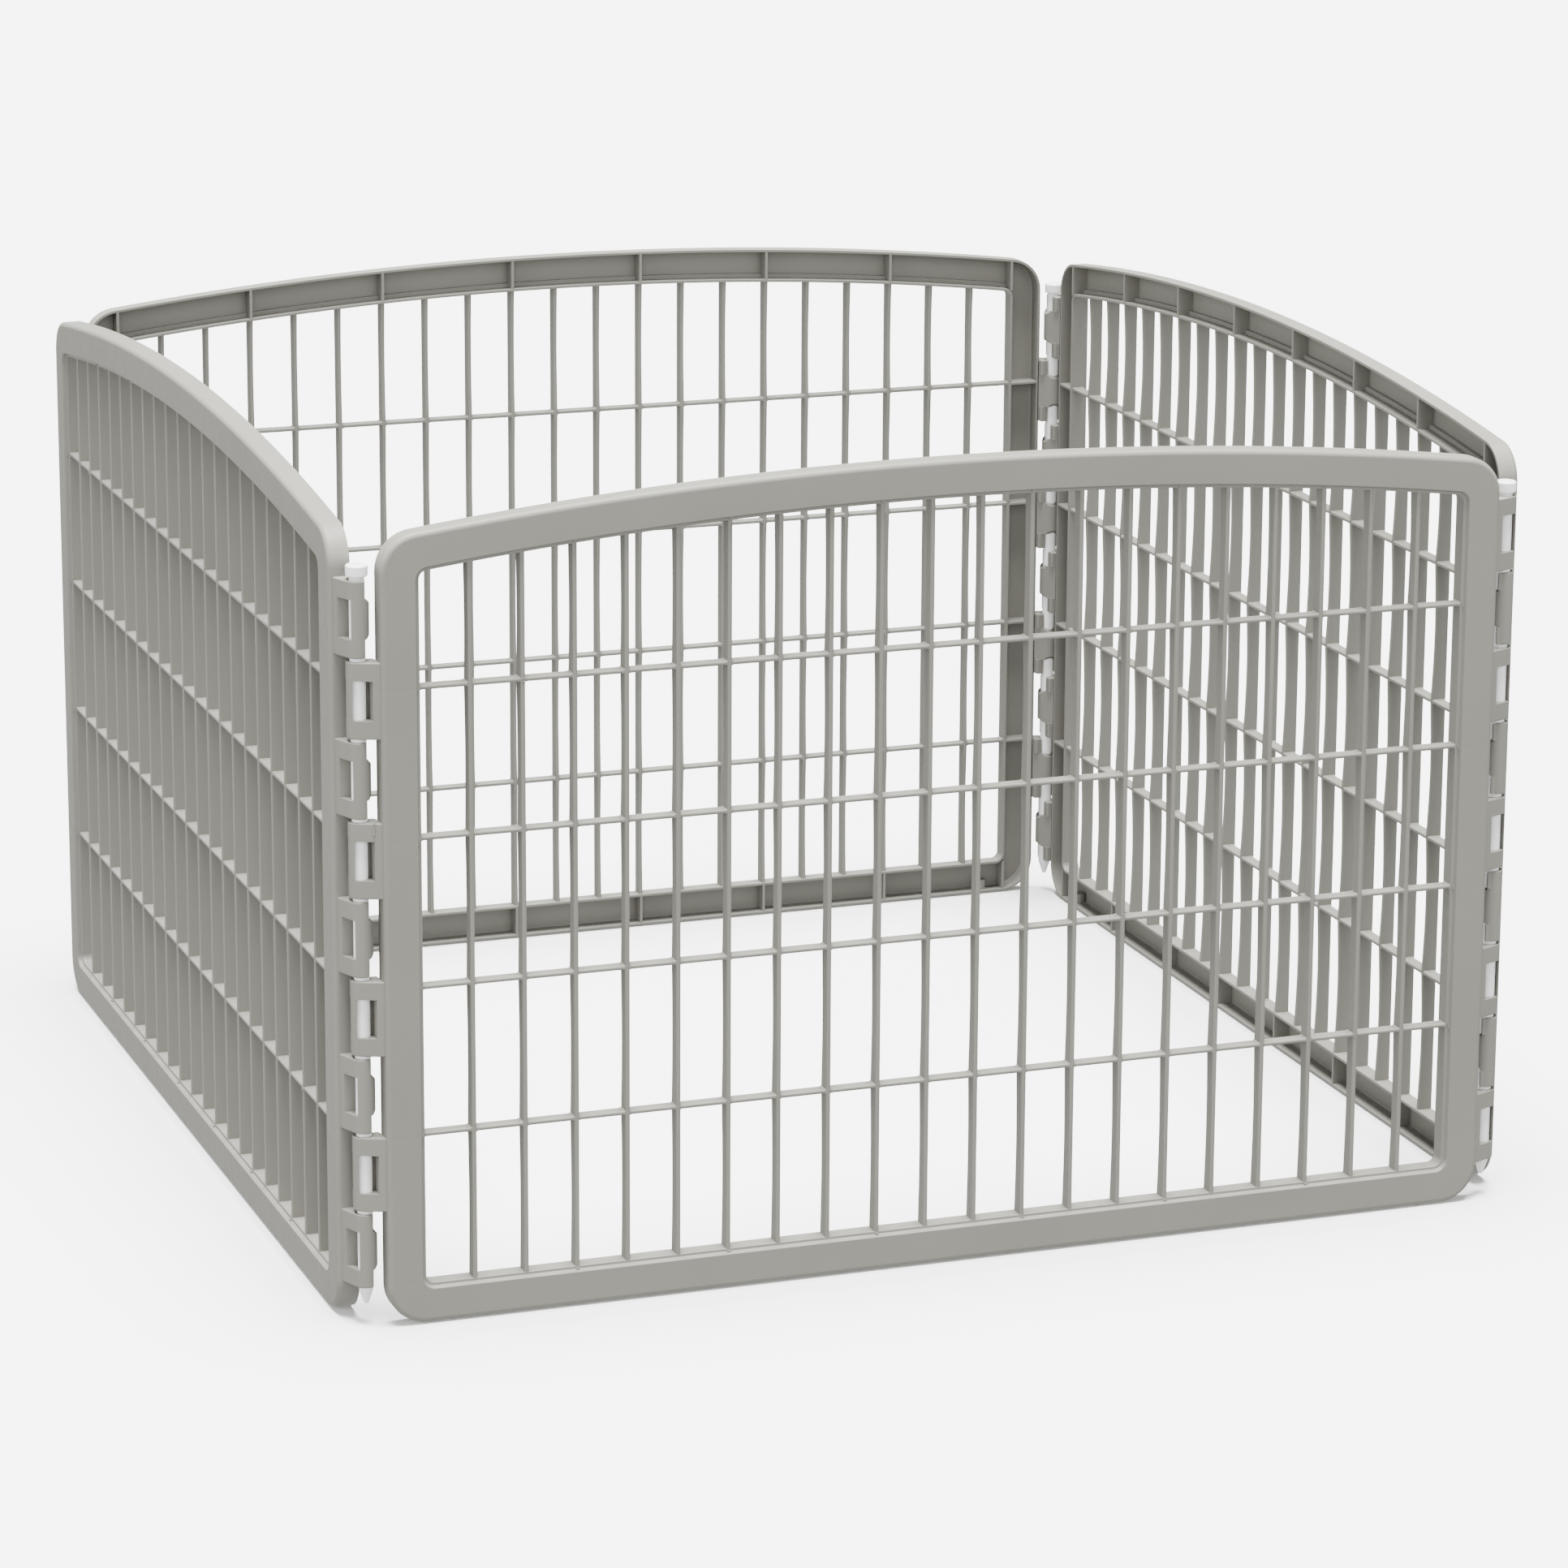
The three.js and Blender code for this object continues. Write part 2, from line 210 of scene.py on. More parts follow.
def rounded(points, steps=3):
    """A closed outline with its corners filleted. Each point is (x, y, radius) and may carry a tag.

    A fillet takes up at most nearly half of each side beside it, and a nearly straight corner gets none.
    """
    nearly_half = 0.48
    nearly_straight = math.pi - 0.02
    out = []
    n = len(points)
    for i in range(n):
        px, py = points[i - 1][:2]
        x, y, r = points[i][:3]
        qx, qy = points[(i + 1) % n][:2]
        tag = points[i][3:]
        ax, ay, bx, by = px - x, py - y, qx - x, qy - y
        la, lb = math.hypot(ax, ay), math.hypot(bx, by)
        ax, ay, bx, by = ax / la, ay / la, bx / lb, by / lb
        angle = math.acos(max(-1.0, min(1.0, ax * bx + ay * by)))
        if r <= 0 or angle > nearly_straight:
            out.append((x, y) + tag)
            continue
        cut = min(r / math.tan(angle / 2), nearly_half * la, nearly_half * lb)
        r = cut * math.tan(angle / 2)
        mx, my = ax + bx, ay + by
        lm = math.hypot(mx, my)
        cx, cy = x + mx / lm * r / math.sin(angle / 2), y + my / lm * r / math.sin(angle / 2)
        a0 = math.atan2(y + ay * cut - cy, x + ax * cut - cx)
        a1 = math.atan2(y + by * cut - cy, x + bx * cut - cx)
        while a1 - a0 > math.pi:
            a1 -= 2 * math.pi
        while a1 - a0 < -math.pi:
            a1 += 2 * math.pi
        for px2, py2 in arc(cx, cy, r, a0, a1, steps):
            out.append((px2, py2) + tag)
    return out


def outline(inset, radius):
    """The panel's outline drawn in by inset, in x and z, as the same number of points for any inset."""
    half = HALF_WIDTH - inset
    arch = ARCH_RADIUS - inset
    cx = half - radius
    cz = ARCH_CENTRE + math.sqrt((arch - radius) ** 2 - cx ** 2)
    turn = math.atan2(cz - ARCH_CENTRE, cx)
    foot = inset + radius
    points = []
    points += arc(-cx, foot, radius, math.pi, 1.5 * math.pi, CORNER_STEPS)
    points += [(-cx + CORNER_MARGIN, inset), (cx - CORNER_MARGIN, inset)]
    points += arc(cx, foot, radius, 1.5 * math.pi, 2 * math.pi, CORNER_STEPS)
    points += [(half, foot + CORNER_MARGIN), (half, cz - CORNER_MARGIN)]
    points += arc(cx, cz, radius, 0, turn, CORNER_STEPS)
    points += arc(0, ARCH_CENTRE, arch, turn, math.pi - turn, ARCH_STEPS)[1:-1]
    points += arc(-cx, cz, radius, math.pi - turn, math.pi, CORNER_STEPS)
    points += [(-half, cz - CORNER_MARGIN), (-half, foot + CORNER_MARGIN)]
    return points


def arch_z(inset, x):
    """The arched top's height at x, drawn in by inset."""
    return ARCH_CENTRE + math.sqrt((ARCH_RADIUS - inset) ** 2 - x ** 2)


def bar_x(i):
    """The middle of bar i, counted from 1."""
    return (i - (BAR_COUNT + 1) / 2) * BAR_PITCH


def crossbar_z(i):
    """The middle of crossbar i, counted from 0 at the bottom."""
    return CROSSBAR_FIRST + i * CROSSBAR_PITCH


class Solid:
    """Collects closed shapes, given as (x, v, z) in millimetres, into one mesh."""

    def __init__(self):
        self.points = []
        self.faces = []

    def add(self, points, faces):
        base = len(self.points)
        self.points += points
        self.faces += [tuple(base + i for i in f) for f in faces]

    def loft(self, rings, closed=False):
        """Joins rings of equal length one after another. closed joins the last one to the first."""
        n = len(rings[0])
        points = [p for ring in rings for p in ring]
        faces = []
        count = len(rings)
        for j in range(count if closed else count - 1):
            k = (j + 1) % count
            for i in range(n):
                m = (i + 1) % n
                faces.append((j * n + i, j * n + m, k * n + m, k * n + i))
        if not closed:
            faces.append(tuple(reversed(range(n))))
            faces.append(tuple((count - 1) * n + i for i in range(n)))
        self.add(points, faces)

    def mesh(self, name):
        """The mesh in metres, smooth but for its sharp edges."""
        mesh = bpy.data.meshes.new(name)
        mesh.from_pydata([(x * MM, -v * MM, z * MM) for x, v, z in self.points], [], self.faces)
        bm = bmesh.new()
        bm.from_mesh(mesh)
        bmesh.ops.recalc_face_normals(bm, faces=bm.faces)
        bm.to_mesh(mesh)
        bm.free()
        mesh.shade_smooth()
        mesh.set_sharp_from_angle(angle=math.radians(SHARP_ANGLE))
        return mesh


def standing(solid, plan, z0, z1, low_edge, high_edge):
    """A closed (x, v) plan standing from z0 to z1, its bottom and top edges rounded by the two radii."""
    rings = []
    quarter = math.pi / 2
    for end, sign, radius in ((z0, 1, low_edge), (z1, -1, high_edge)):
        turns = [quarter * k / EDGE_STEPS for k in range(EDGE_STEPS + 1)] if radius else [quarter]
        stack = [(radius * (1 - math.sin(a)), end + sign * radius * (1 - math.cos(a))) for a in turns]
        for inset, z in stack if sign > 0 else reversed(stack):
            rings.append([(x, v, z) for x, v in inset_plan(plan, inset)])
    solid.loft(rings)


def inset_plan(plan, distance):
    """A closed plan drawn in by distance. Sharp corners move further, up to a limit."""
    if distance == 0:
        return list(plan)
    least_lean = 0.5
    n = len(plan)
    area = sum(plan[i - 1][0] * plan[i][1] - plan[i][0] * plan[i - 1][1] for i in range(n))
    side = 1 if area > 0 else -1
    out = []
    for i in range(n):
        ax, ay = plan[i][0] - plan[i - 1][0], plan[i][1] - plan[i - 1][1]
        bx, by = plan[(i + 1) % n][0] - plan[i][0], plan[(i + 1) % n][1] - plan[i][1]
        la, lb = math.hypot(ax, ay), math.hypot(bx, by)
        nx = -(ay / la + by / lb) * side
        ny = (ax / la + bx / lb) * side
        ln = math.hypot(nx, ny)
        grow = distance / max(least_lean, ln / 2)
        out.append((plan[i][0] + nx / ln * grow, plan[i][1] + ny / ln * grow))
    return out


def prism(solid, profile, put, stations):
    """A closed profile carried through the stations by put(a, b, t)."""
    solid.loft([[put(a, b, t) for a, b in profile] for t in stations])


def plain(points):
    """The points without their tags."""
    return [(p[0], p[1]) for p in points]


# ---- the moulded panel -----------------------------------------------------------------------------

def add_frame(solid):
    """The frame's cross-section, as inset from the outline and v, carried round the panel."""
    outer, inner = CORNER_RADIUS, OPENING_RADIUS + FRAME_WIDTH
    step = FACE_END - WALL
    section = rounded([
        (0, INNER_FACE, SOFT_EDGE, outer),
        (0, OUTER_FACE, FRONT_EDGE, outer),
        (FACE_END, OUTER_FACE, FACE_EDGE, inner),
        (FACE_END + FACE_SLOPE, LEDGE + LEDGE_FALL, SOFT_EDGE, inner),
        (FRAME_WIDTH, LEDGE, SOFT_EDGE, inner),
        (FRAME_WIDTH, INNER_FACE, SOFT_EDGE, inner),
        (FRAME_WIDTH - WALL, INNER_FACE, RIM_EDGE, inner),
        (FRAME_WIDTH - WALL, STEP_FLOOR, SOFT_EDGE, inner),
        (step, STEP_FLOOR, SOFT_EDGE, inner),
        (step, FLOOR, RIM_EDGE, inner),
        (WALL, FLOOR, CHANNEL_FILLET, outer),
        (WALL, INNER_FACE, RIM_EDGE, outer),
    ], EDGE_STEPS)
    rings = []
    for inset, v, reach in section:
        rings.append([(x, v, z) for x, z in outline(inset, reach - inset)])
    solid.loft(rings, closed=True)


def add_ribs(solid):
    """The ribs across the channel, in line with every third bar, the opening's sides and the crossbars."""
    lip = INNER_FACE + RIB_SET_BACK
    root = FLOOR + RIB_BURIED
    section = plain(rounded([
        (-RIB_HALF, lip, RIB_EDGE), (RIB_HALF, lip, RIB_EDGE),
        (RIB_HALF + RIB_TAPER, root, 0), (-RIB_HALF - RIB_TAPER, root, 0)]))
    wall_x = OPENING_HALF + WALL / 2
    places = [-wall_x, wall_x] + [bar_x(i) for i in range(RIB_EVERY, BAR_COUNT + 1, RIB_EVERY)]
    for x in places:
        low, high = arch_z(FRAME_WIDTH - WALL / 2, min(abs(x), OPENING_HALF)), arch_z(WALL / 2, x)
        for z0, z1 in ((WALL / 2, FRAME_WIDTH - WALL / 2), (low, high)):
            prism(solid, section, lambda a, b, t: (x + a, b, t), (z0, z1))
    for i in range(CROSSBAR_COUNT):
        z = crossbar_z(i)
        for side in (-1, 1):
            ends = (side * wall_x, side * (HALF_WIDTH - WALL / 2))
            prism(solid, section, lambda a, b, t: (t, b, z + a), ends)


def add_bosses(solid):
    """The bosses on the bottom rail's floor that the feet plug into."""
    for side in (-1, 1):
        rings = []
        for radius, z in BOSS:
            rings.append([(x, v, z) for x, v in circle(side * FOOT_X, FOOT_V, radius, BOSS_SIDES)])
        solid.loft(rings)


def add_bars(solid):
    """The upright bars, each waisted at the back between one crossing and the next."""
    half = BAR_WIDTH / 2
    back_half = half - BAR_TAPER
    for i in range(1, BAR_COUNT + 1):
        x = bar_x(i)
        top = arch_z(FRAME_WIDTH, x)
        levels = [FRAME_WIDTH] + [crossbar_z(k) for k in range(CROSSBAR_COUNT)] + [top]
        stations = [(FRAME_WIDTH - WALL / 2, 0.0)]
        for low, high in zip(levels, levels[1:]):
            for k in range(BAR_STEPS):
                t = k / BAR_STEPS
                stations.append((low + (high - low) * t, math.sin(math.pi * t)))
        stations += [(top, 0.0), (top + WALL / 2, 0.0)]
        rings = []
        for z, waist in stations:
            back = BAR_BACK + BAR_WAIST * waist
            ring = rounded([
                (-half, BAR_FRONT, BAR_FRONT_EDGE), (half, BAR_FRONT, BAR_FRONT_EDGE),
                (back_half, back, BAR_BACK_EDGE), (-back_half, back, BAR_BACK_EDGE)])
            rings.append([(x + a, b, z) for a, b in ring])
        solid.loft(rings)


def crossbar_section(swell):
    """A crossbar's cross-section, a little fuller where it runs into a bar."""
    half = CROSSBAR_HALF + ROOT_THICKER * swell
    back_half = half - CROSSBAR_TAPER
    front, back = CROSSBAR_FRONT + ROOT_FORWARD * swell, CROSSBAR_BACK - ROOT_BACK * swell
    return plain(rounded([
        (-half, front, CROSSBAR_FRONT_EDGE), (half, front, CROSSBAR_FRONT_EDGE),
        (back_half, back, CROSSBAR_BACK_EDGE), (-back_half, back, CROSSBAR_BACK_EDGE)], EDGE_STEPS))


def add_crossbars(solid):
    """The crossbars, one shape each from side to side, fuller at every bar."""
    reach = OPENING_HALF + WALL / 2
    roots = [-OPENING_HALF, OPENING_HALF]
    for i in range(1, BAR_COUNT + 1):
        roots += [bar_x(i) - BAR_WIDTH / 2, bar_x(i) + BAR_WIDTH / 2]
    roots.sort()
    stations = [(-reach, 1.0)]
    for start, end in zip(roots[::2], roots[1::2]):
        stations += [(start + away, swell) for away, swell in CROSSBAR_ROOT]
        stations += [(end - away, swell) for away, swell in reversed(CROSSBAR_ROOT)]
    stations.append((reach, 1.0))
    for i in range(CROSSBAR_COUNT):
        z = crossbar_z(i)
        solid.loft([[(x, b, z + a) for a, b in crossbar_section(swell)] for x, swell in stations])


def add_gate_marks(solid):
    """The snapped-off injection gates, on two of the grille's crossings."""
    for bar, crossbar in GATE_MARK_PLACES:
        rings = []
        for radius, v in GATE_MARK:
            ring = circle(bar_x(bar), crossbar_z(crossbar), radius, MARK_SIDES)
            rings.append([(x, v, z) for x, z in ring])
        solid.loft(rings)


def touch(px, pv, radius, sign):
    """The angle at which a line from a point touches a circle about the pin, on one side or the other."""
    return math.atan2(pv, px) + sign * math.acos(radius / math.hypot(px, pv))


def knuckle_plans():
    """A right end's knuckle in plan, about its pin: the solid block, and the middle with its window."""
    root = -PIN_TO_FRAME - WALL / 2
    outer = touch(-PIN_TO_FRAME, KNUCKLE_ROOT, RING, -1)
    inner = touch(-PIN_TO_FRAME, INNER_FACE, RING, 1)
    flat = -math.asin(-KNUCKLE_FLAT / RING)
    block = [(root, KNUCKLE_ROOT), (-PIN_TO_FRAME, KNUCKLE_ROOT)]
    block += arc(0, 0, RING, outer, flat, steps=14)
    block += [(BORE, KNUCKLE_FLAT)]
    block += arc(0, 0, BORE, 0, math.pi, steps=18)
    block += [(-BORE, KNUCKLE_FLAT)]
    fillet_x, fillet_v = -PIN_TO_FRAME + KNUCKLE_FILLET, KNUCKLE_FLAT + KNUCKLE_FILLET
    block += arc(fillet_x, fillet_v, KNUCKLE_FILLET, 1.5 * math.pi, math.pi, steps=5)
    block += [(-PIN_TO_FRAME, INNER_FACE), (root, INNER_FACE)]

    slope = (RING * math.sin(outer) - KNUCKLE_ROOT) / (RING * math.cos(outer) + PIN_TO_FRAME)
    window_v = KNUCKLE_ROOT + slope * (PIN_TO_FRAME - WINDOW_REACH)
    far = math.acos(BORE / RING)
    along = (math.sin(inner), -math.cos(inner))
    seat = (BORE * math.cos(inner), BORE * math.sin(inner))
    run = (-WINDOW_REACH - seat[0]) / along[0]
    middle = [(root, KNUCKLE_ROOT), (-PIN_TO_FRAME, KNUCKLE_ROOT), (-WINDOW_REACH, window_v)]
    middle += [(-WINDOW_REACH, seat[1] + along[1] * run)]
    middle += arc(0, 0, BORE, inner, 2 * math.pi, steps=16)
    middle += arc(0, 0, RING, far, inner - 2 * math.pi, steps=22)
    middle += [(-PIN_TO_FRAME, INNER_FACE), (root, INNER_FACE)]
    return block, middle


def add_knuckles(solid):
    """Every knuckle: two blocks open to the inside with a hook between them. The left end's have lips."""
    block, middle = knuckle_plans()
    lip = plain(rounded([
        (LIP_NEAR, LIP_START, 0), (LIP_FAR, LIP_START, 0),
        (LIP_FAR_END, LIP_END, LIP_EDGE), (LIP_NEAR, LIP_END, LIP_NEAR_EDGE)]))
    stacks = [(1, 2 * i) for i in range(RIGHT_KNUCKLES)] + [(-1, 2 * i + 1) for i in range(LEFT_KNUCKLES)]
    for side, level in stacks:
        base = KNUCKLE_BASE + level * KNUCKLE_PITCH
        part = Solid()
        standing(part, block, 0, WINDOW_LOW, KNUCKLE_EDGE, 0)
        standing(part, block, WINDOW_HIGH, KNUCKLE_HEIGHT, 0, KNUCKLE_EDGE)
        if side < 0:
            standing(part, lip, LIP_EDGE, WINDOW_LOW, LIP_EDGE, 0)
            standing(part, lip, WINDOW_HIGH, KNUCKLE_HEIGHT - LIP_EDGE, 0, LIP_EDGE)
        ends = []
        for start, sign in ((WINDOW_LOW, 1), (WINDOW_HIGH, -1)):
            ends.append([(x, v, start + sign * hook_chamfer(x, v)) for x, v in middle])
        part.loft(ends)
        solid.add([(side * (AXIS_X + x), v, base + z) for x, v, z in part.points], part.faces)


def hook_chamfer(x, v):
    """How far the innermost part of the hook is cut back at its top and bottom."""
    return max(0.0, min(HOOK_CHAMFER, HOOK_STRAIGHT - v)) if x > -BORE else 0.0


def add_gate_nub(solid):
    """The ridge left by a gate on the left end's second knuckle from the top."""
    block = knuckle_plans()[0]
    (x0, v0), (x1, v1) = block[1], block[2]
    x, v = x0 + (x1 - x0) * NUB_ALONG, v0 + (v1 - v0) * NUB_ALONG
    second_from_top = 2 * (LEFT_KNUCKLES - 2) + 1
    top = KNUCKLE_BASE + second_from_top * KNUCKLE_PITCH + KNUCKLE_HEIGHT
    rings = []
    for radius, z in GATE_NUB:
        rings.append([(-AXIS_X - a, b, top + z) for a, b in circle(x, v, radius, NUB_SIDES)])
    solid.loft(rings)


def panel_mesh(name):
    """The whole moulding. Its parts overlap where the real plastic runs on from one to the next."""
    solid = Solid()
    add_frame(solid)
    add_ribs(solid)
    add_bosses(solid)
    add_bars(solid)
    add_crossbars(solid)
    add_gate_marks(solid)
    add_knuckles(solid)
    add_gate_nub(solid)
    return solid.mesh(name)


# ---- pins and feet ---------------------------------------------------------------------------------

def lathe(profile, sides):
    """A (radius, z) profile, from axis to axis, turned about z at the origin."""
    least = 0.02
    solid = Solid()
    rings = []
    for radius, z in profile:
        rings.append([(x, v, z) for x, v in circle(0, 0, max(radius, least), sides)])
    solid.loft(rings)
    return solid


def pin_mesh(name):
    """Head, neck, shaft and pointed tip, with z from the panel's bottom edge."""
    head, top = PIN_SEAT + HEAD_LOW, PIN_SEAT + HEAD_HIGH
    low_x, low_z = PIN_HEAD - HEAD_LOW_EDGE, head + HEAD_LOW_EDGE
    high_x, high_z = PIN_HEAD - HEAD_HIGH_EDGE, top - HEAD_DOME - HEAD_HIGH_EDGE
    profile = list(PIN_TIP)
    profile += [(PIN_RADIUS, PIN_SHAFT_START), (PIN_RADIUS, PIN_SEAT - 2), (PIN_RADIUS, PIN_SEAT - 0.3)]
    profile += [(PIN_NECK, PIN_SEAT), (PIN_NECK, head)]
    profile += arc(low_x, low_z, HEAD_LOW_EDGE, -math.pi / 2, 0, HEAD_STEPS)
    profile += arc(high_x, high_z, HEAD_HIGH_EDGE, 0, math.pi / 2, HEAD_STEPS)
    profile += [(4, top - 0.08), (1.5, top), (0, top)]
    return lathe(profile, PIN_SIDES).mesh(name)


def foot_mesh(name):
    """A foot and its plug, with z from the panel's bottom edge."""
    return lathe(FOOT, FOOT_SIDES).mesh(name)


# ---- materials -------------------------------------------------------------------------------------

PANEL_DARK = (0.19, 0.1868, 0.1632)
PANEL_LIGHT = (0.2035, 0.2002, 0.1754)
PIN_DARK = (0.91, 0.91, 0.905)
PIN_LIGHT = (0.95, 0.95, 0.945)
FOOT_DARK = (0.2, 0.2, 0.19)
FOOT_LIGHT = (0.27, 0.268, 0.255)
FLOOR_DARK = (0.93, 0.93, 0.93)
FLOOR_LIGHT = (0.95, 0.95, 0.95)

# How far the mottling is shifted from one panel to the next, so that no two are marked alike.
SEED_SHIFT = (3.1, 1.7, 0.9)
# How far a sink line reaches to either side of its rib's middle, in millimetres.
SINK_HALF = 2.6


def nodes_of(name):
    """A new material, its node tree and its shader."""
    material = bpy.data.materials.new(name)
    material.use_nodes = True
    tree = material.node_tree
    shader = tree.nodes["Principled BSDF"]
    return material, tree, shader


def link(tree, a, b):
    tree.links.new(a, b)


def maths(tree, operation, a, b=None, c=None):
    """A maths node's output. Each input is a number or another node's output."""
    node = tree.nodes.new("ShaderNodeMath")
    node.operation = operation
    for socket, value in zip(node.inputs, (a, b, c)):
        if value is None:
            continue
        if isinstance(value, (int, float)):
            socket.default_value = value
        else:
            link(tree, value, socket)
    return node.outputs[0]


def noise(tree, coords, scale, detail, roughness=0.5):
    """Noise from 0 to 1, mostly near the middle. scale is in features per metre."""
    node = tree.nodes.new("ShaderNodeTexNoise")
    node.inputs["Scale"].default_value = scale
    node.inputs["Detail"].default_value = detail
    node.inputs["Roughness"].default_value = roughness
    link(tree, coords, node.inputs["Vector"])
    return node.outputs["Fac"]


def spread(tree, value, low=0, high=1):
    """Noise stretched from its usual range onto low to high."""
    node = tree.nodes.new("ShaderNodeMapRange")
    node.inputs["From Min"].default_value = 0.3
    node.inputs["From Max"].default_value = 0.7
    node.inputs["To Min"].default_value = low
    node.inputs["To Max"].default_value = high
    link(tree, value, node.inputs["Value"])
    return node.outputs["Result"]


def mix_colour(tree, factor, a, b):
    """The colour from a to b by factor."""
    node = tree.nodes.new("ShaderNodeMix")
    node.data_type = "RGBA"
    node.inputs[6].default_value = (*a, 1)
    node.inputs[7].default_value = (*b, 1)
    link(tree, factor, node.inputs[0])
    return node.outputs[2]


def bump(tree, shader, height, distance):
    """Gives the shader a surface that rises by distance, in metres, where height is 1."""
    node = tree.nodes.new("ShaderNodeBump")
    node.inputs["Strength"].default_value = 1
    node.inputs["Distance"].default_value = distance
    link(tree, height, node.inputs["Height"])
    link(tree, node.outputs["Normal"], shader.inputs["Normal"])


def sink_lines(tree, coords):
    """From 0 to 1 along the faint lines where the plastic has shrunk over the channel's ribs."""
    parts = tree.nodes.new("ShaderNodeSeparateXYZ")
    link(tree, coords, parts.inputs[0])
    sinks = []
    rib_pitch = RIB_EVERY * BAR_PITCH
    for axis, first, pitch in (("Z", CROSSBAR_FIRST, CROSSBAR_PITCH), ("X", bar_x(RIB_EVERY), rib_pitch)):
        turns = maths(tree, "MULTIPLY_ADD", parts.outputs[axis], 1 / (MM * pitch), 0.5 - first / pitch)
        near = maths(tree, "ABSOLUTE", maths(tree, "SUBTRACT", maths(tree, "FRACT", turns), 0.5))
        line = maths(tree, "SUBTRACT", 1.0, maths(tree, "MULTIPLY", near, pitch / SINK_HALF))
        sinks.append(maths(tree, "MAXIMUM", line, 0.0))
    stile = maths(tree, "GREATER_THAN", maths(tree, "ABSOLUTE", parts.outputs["X"]), OPENING_HALF * MM)
    rail = maths(tree, "SUBTRACT", 1.0, stile)
    on_stiles = maths(tree, "MULTIPLY", sinks[0], stile)
    on_rails = maths(tree, "MULTIPLY", sinks[1], rail)
    return maths(tree, "ADD", on_stiles, on_rails)


def panel_plastic(seed):
    """Satin moulded plastic: faint mottling, fine grain, sink lines over the ribs and slight scuffs."""
    material, tree, shader = nodes_of(f"panel_plastic_{seed}")
    coords = tree.nodes.new("ShaderNodeTexCoord").outputs["Object"]
    shift = tree.nodes.new("ShaderNodeVectorMath")
    shift.inputs[1].default_value = [along * seed for along in SEED_SHIFT]
    link(tree, coords, shift.inputs[0])
    moved = shift.outputs[0]
    mottle = noise(tree, moved, scale=9, detail=4)
    link(tree, mix_colour(tree, spread(tree, mottle), PANEL_DARK, PANEL_LIGHT), shader.inputs["Base Color"])
    scuff = noise(tree, moved, scale=140, detail=3, roughness=0.65)
    link(tree, spread(tree, scuff, low=0.44, high=0.56), shader.inputs["Roughness"])
    shader.inputs["Specular IOR Level"].default_value = 0.25

    raised = maths(tree, "MULTIPLY", noise(tree, moved, scale=1100, detail=2), 0.35)
    sunk = maths(tree, "MULTIPLY", sink_lines(tree, coords), 0.5)
    bump(tree, shader, maths(tree, "SUBTRACT", raised, sunk), distance=0.00006)
    return material


def pin_plastic():
    """Smooth white plastic with faint flow variation and soft handling marks."""
    material, tree, shader = nodes_of("pin_plastic")
    coords = tree.nodes.new("ShaderNodeTexCoord").outputs["Object"]
    flow = noise(tree, coords, scale=60, detail=3)
    link(tree, mix_colour(tree, spread(tree, flow), PIN_DARK, PIN_LIGHT), shader.inputs["Base Color"])
    marks = noise(tree, coords, scale=300, detail=3, roughness=0.6)
    link(tree, spread(tree, marks, low=0.24, high=0.34), shader.inputs["Roughness"])
    bump(tree, shader, noise(tree, coords, scale=900, detail=2), distance=0.00003)
    return material


def foot_rubber():
    """Matt grey rubber with a coarse grain and worn patches."""
    material, tree, shader = nodes_of("foot_rubber")
    coords = tree.nodes.new("ShaderNodeTexCoord").outputs["Object"]
    worn = noise(tree, coords, scale=260, detail=3)
    link(tree, mix_colour(tree, spread(tree, worn), FOOT_DARK, FOOT_LIGHT), shader.inputs["Base Color"])
    link(tree, spread(tree, worn, low=0.78, high=0.92), shader.inputs["Roughness"])
    bump(tree, shader, noise(tree, coords, scale=1500, detail=3), distance=0.0001)
    return material


def floor_paint():
    """Plain pale paint, hardly varied."""
    material, tree, shader = nodes_of("floor_paint")
    coords = tree.nodes.new("ShaderNodeTexCoord").outputs["Object"]
    patches = noise(tree, coords, scale=3, detail=2)
    link(tree, mix_colour(tree, patches, FLOOR_DARK, FLOOR_LIGHT), shader.inputs["Base Color"])
    shader.inputs["Roughness"].default_value = 0.9
    shader.inputs["Specular IOR Level"].default_value = 0.1
    return material


# ---- the pen ---------------------------------------------------------------------------------------

def centre(node):
    """The middle of a CAD node's box."""
    low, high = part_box(node)
    return (low + high) / 2


def place(name, mesh, matrix, material, node):
    """Puts a piece in place of a CAD node, riding on that node's body."""
    piece = bpy.data.objects.new(name, mesh)
    bpy.context.scene.collection.objects.link(piece)
    piece.matrix_world = matrix
    mesh.materials.append(material)
    even = piece.modifiers.new("even_shading", "WEIGHTED_NORMAL")
    even.keep_sharp = True
    even.weight = 100
    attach(piece, frame["nodes"][node]["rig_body"])
    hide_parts(node)


# Each side with its left and right corner, seen from outside.
SIDES = [("front", "front_left", "front_right"), ("right", "front_right", "rear_right"),
         ("rear", "rear_right", "rear_left"), ("left", "rear_left", "front_left")]


def build_panels_and_pins():
    """The four panels, each between its two pins, and the pin at each panel's right end."""
    white = pin_plastic()
    for number, (side, left_corner, right_corner) in enumerate(SIDES):
        left_pin, right_pin = centre(f"hinge_pin_{left_corner}"), centre(f"hinge_pin_{right_corner}")
        along = right_pin - left_pin
        turn = Matrix.Rotation(math.atan2(along.y, along.x), 4, "Z")
        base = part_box(f"panel_{side}")[0].z
        middle = (left_pin + right_pin) / 2
        middle.z = base
        name = f"moulded_panel_{side}"
        at = Matrix.Translation(middle) @ turn
        place(name, panel_mesh(name), at, panel_plastic(number + 1), f"panel_{side}")
        name = f"drop_in_pin_{right_corner}"
        at = Matrix.Translation((right_pin.x, right_pin.y, base))
        place(name, pin_mesh(name), at, white, f"hinge_pin_{right_corner}")


